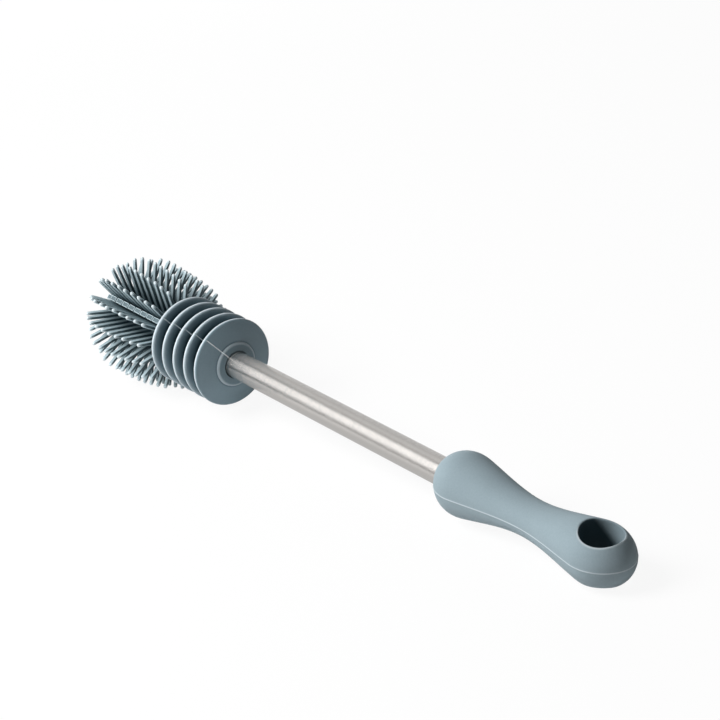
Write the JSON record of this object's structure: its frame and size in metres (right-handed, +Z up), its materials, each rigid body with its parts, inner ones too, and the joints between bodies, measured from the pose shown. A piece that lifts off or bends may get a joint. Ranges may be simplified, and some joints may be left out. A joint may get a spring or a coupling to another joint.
{
  "type": "bottle brush",
  "caption": "Silicone bottle brush: a rounded head of soft fingers in straight rows, wiping discs, a straight steel shaft and a waisted soft grip with a hanging hole.",
  "frame": {"origin": "centre of the base of the box round the brush as it lies, on the surface it lies on", "axes": "+X along the brush from the nose of the head to the tip of the grip, +Z up"},
  "size_m": [0.3394, 0.0562, 0.0564],
  "materials": {
    "head_silicone": "soft satin slate blue",
    "grip_silicone": "matt slate blue",
    "shaft_steel": "polished, with fine scratches round the tube",
    "core_plastic": "plain moulded grey"
  },
  "bodies": {
    "root": {"bristle_slice_1": "head_silicone", "bristle_slice_2": "head_silicone", "bristle_slice_3": "head_silicone", "bristle_slice_4": "head_silicone", "bristle_slice_5": "head_silicone", "disc_sleeve": "head_silicone", "shaft_tube": "shaft_steel", "grip": "grip_silicone", "head_core": "core_plastic", "handle_core": "core_plastic"}
  },
  "joints": []
}
